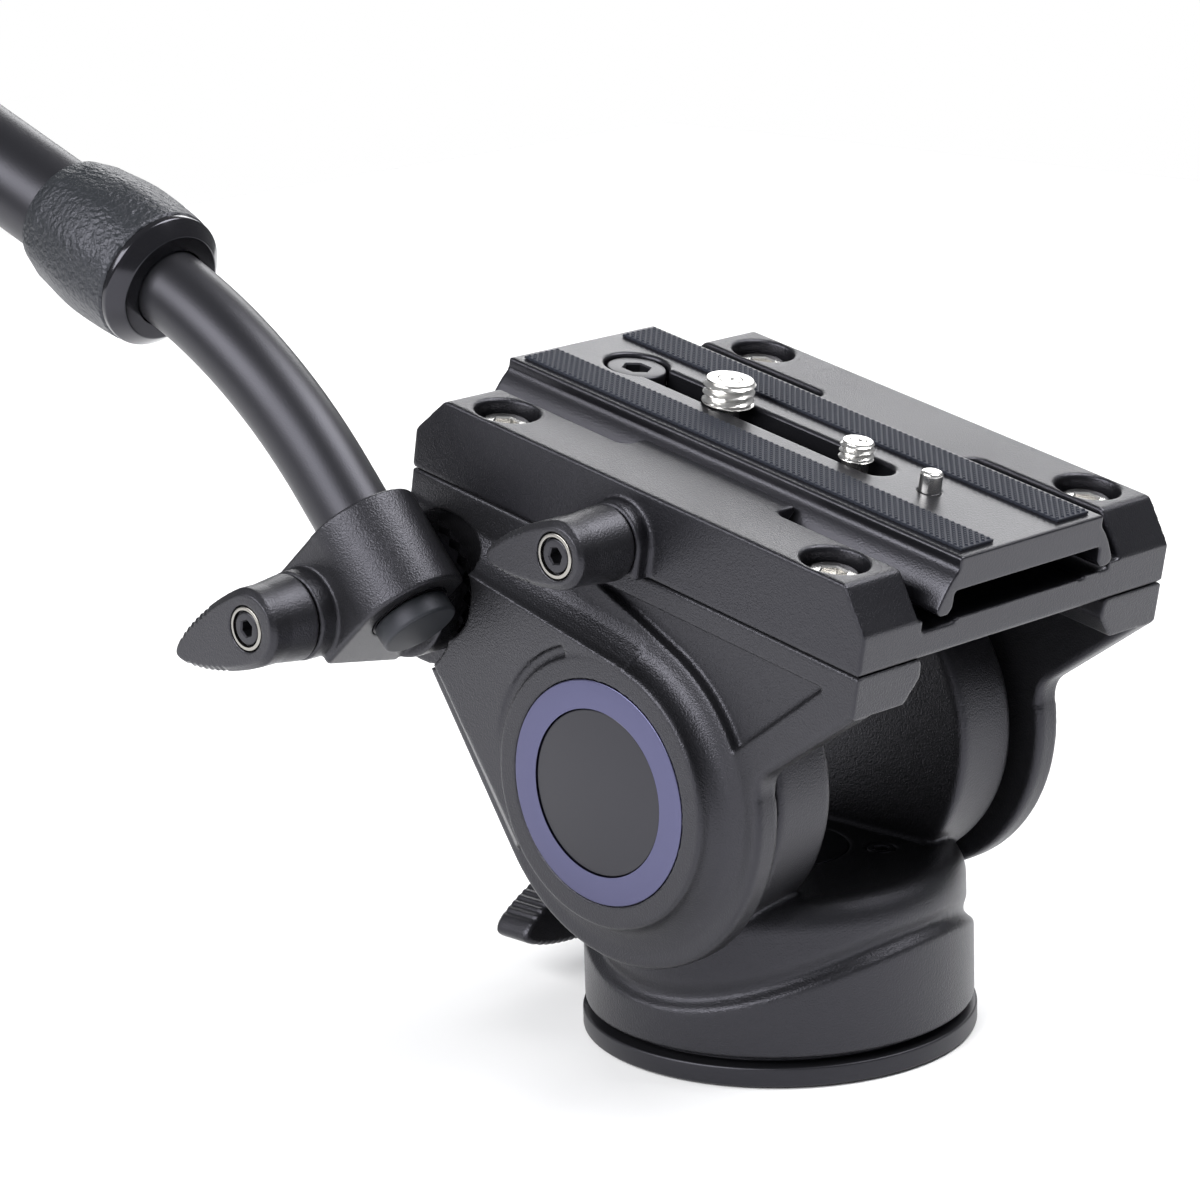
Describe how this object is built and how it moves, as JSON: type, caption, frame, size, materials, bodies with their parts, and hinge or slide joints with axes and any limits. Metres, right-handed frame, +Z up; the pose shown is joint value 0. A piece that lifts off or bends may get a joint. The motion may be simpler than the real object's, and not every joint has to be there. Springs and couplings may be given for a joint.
{
  "type": "fluid head",
  "caption": "Video tripod fluid head with a panning drum, a tilting cage, a sliding dovetail camera plate and a bent telescopic pan handle.",
  "frame": {"origin": "centre of the base's underside, on the pan axis, at the mouth of the tripod thread", "axes": "+X towards the lens, +Z up along the pan axis, -Y the side with the handle"},
  "size_m": [0.3587, 0.1408, 0.218],
  "materials": {
    "cast_black": "fine-textured black powder coat on cast aluminium",
    "block_black": "black anodised, softly blasted",
    "satin_black": "satin black anodised tube",
    "gloss_black": "glossy black",
    "rubber_grey": "slate-grey rubber with a fine diamond pattern",
    "rubber_black": "matt black rubber",
    "violet_metal": "violet anodised ring with a turned sheen",
    "steel": "bright stainless steel",
    "black_steel": "black oxide steel",
    "brass": "plain turned brass",
    "nylon": "off-white nylon"
  },
  "bodies": {
    "base": {"base_plate": "satin_black", "thread_bush": "steel", "pan_spindle": "steel", "spindle_nut": "steel"},
    "pan": {"pan_housing": "cast_black", "pan_cap": "satin_black", "pan_bearing": "brass", "pan_brake_shoe": "brass", "drag_cartridge_right": "nylon", "drag_cartridge_left": "nylon", "floor_screw_1": "black_steel", "floor_screw_2": "black_steel"},
    "pan_lock": {"pan_lock_knob": "cast_black", "pan_lock_knob_ring": "steel", "pan_lock_knob_bolt": "black_steel"},
    "cage": {"side_arm_right": "cast_black", "side_arm_left": "cast_black", "trim_ring_right": "violet_metal", "trim_ring_left": "violet_metal", "centre_cap_right": "gloss_black", "centre_cap_left": "gloss_black", "tilt_axle_right": "steel", "tilt_axle_left": "steel", "axle_bolt_right": "black_steel", "axle_bolt_left": "black_steel", "top_block": "block_black", "block_screw_1": "steel", "block_screw_2": "steel", "block_screw_3": "steel", "block_screw_4": "steel"},
    "tilt_lock": {"tilt_lock_knob": "cast_black", "tilt_lock_knob_ring": "steel", "tilt_lock_knob_bolt": "black_steel"},
    "plate_lock": {"plate_lock_knob": "cast_black", "plate_lock_knob_ring": "steel", "plate_lock_knob_bolt": "black_steel"},
    "jaw": {"lock_jaw": "brass"},
    "plate": {"camera_plate": "block_black", "rubber_strip_right": "rubber_grey", "rubber_strip_left": "rubber_grey", "alignment_pin": "steel", "stop_screw": "black_steel"},
    "large_carriage": {"captive_washer_large": "steel"},
    "large_screw": {"camera_screw_large": "steel"},
    "small_carriage": {"captive_washer_small": "steel"},
    "small_screw": {"camera_screw_small": "steel"},
    "handle": {"handle_clamp": "cast_black", "handle_tube": "satin_black", "tube_plug": "rubber_black"},
    "handle_lock": {"handle_lock_knob": "cast_black", "handle_lock_knob_ring": "steel", "handle_lock_knob_bolt": "black_steel"},
    "extension": {"lock_collar": "gloss_black", "collet": "nylon", "outer_tube": "satin_black", "hand_grip": "rubber_black", "end_cap": "rubber_black"},
    "twist_lock": {"lock_sleeve": "rubber_black"}
  },
  "joints": [
    {"name": "pan_turn", "type": "hinge", "parent": "base", "child": "pan", "pos_m": [0, 0, 0.0145], "axis": [0, 0, 1], "continuous": true},
    {"name": "pan_lock_turn", "type": "hinge", "parent": "pan", "child": "pan_lock", "pos_m": [-0.0389, 0, 0.0145], "axis": [-1, 0, 0], "range_deg": [-10, 110]},
    {"name": "tilt_turn", "type": "hinge", "parent": "pan", "child": "cage", "pos_m": [0, 0, 0.0539], "axis": [0, 1, 0], "range_deg": [-71, 78]},
    {"name": "tilt_lock_turn", "type": "hinge", "parent": "cage", "child": "tilt_lock", "pos_m": [-0.02768, 0.0475, 0.05931], "axis": [0, 1, 0], "range_deg": [-90, 90]},
    {"name": "plate_lock_turn", "type": "hinge", "parent": "cage", "child": "plate_lock", "pos_m": [0.00258, -0.0469, 0.09884], "axis": [0, 1, 0], "range_deg": [0, 100]},
    {"name": "jaw_slide", "type": "slide", "parent": "cage", "child": "jaw", "axis": [0, 1, 0], "range_m": [0, 0.0008]},
    {"name": "plate_slide", "type": "slide", "parent": "cage", "child": "plate", "axis": [0.9814, 0, -0.192], "range_m": [-0.035, 0.035]},
    {"name": "large_screw_slide", "type": "slide", "parent": "plate", "child": "large_carriage", "axis": [0.9814, 0, -0.192], "range_m": [-0.012, 0.006]},
    {"name": "large_screw_turn", "type": "hinge", "parent": "large_carriage", "child": "large_screw", "pos_m": [-0.00988, 0, 0.11483], "axis": [0.192, 0, 0.9814], "continuous": true},
    {"name": "small_screw_slide", "type": "slide", "parent": "plate", "child": "small_carriage", "axis": [0.9814, 0, -0.192], "range_m": [-0.006, 0.004]},
    {"name": "small_screw_turn", "type": "hinge", "parent": "small_carriage", "child": "small_screw", "pos_m": [0.02054, 0, 0.10888], "axis": [0.192, 0, 0.9814], "continuous": true},
    {"name": "handle_turn", "type": "hinge", "parent": "cage", "child": "handle", "pos_m": [-0.05116, -0.0545, 0.08199], "axis": [0, 1, 0], "range_deg": [-80, 60]},
    {"name": "handle_lock_turn", "type": "hinge", "parent": "handle", "child": "handle_lock", "pos_m": [-0.05116, -0.0697, 0.08199], "axis": [0, 1, 0], "range_deg": [-60, 60]},
    {"name": "handle_slide", "type": "slide", "parent": "handle", "child": "extension", "axis": [-0.9371, 0, 0.349], "range_m": [0, 0.1]},
    {"name": "twist_lock_turn", "type": "hinge", "parent": "extension", "child": "twist_lock", "pos_m": [-0.09815, -0.0545, 0.13336], "axis": [-0.9371, 0, 0.349], "range_deg": [0, 90]}
  ],
  "couplings": [
    {"joint": "plate_lock_turn", "follows": "jaw_slide", "rad_per_m": 2094.4}
  ]
}
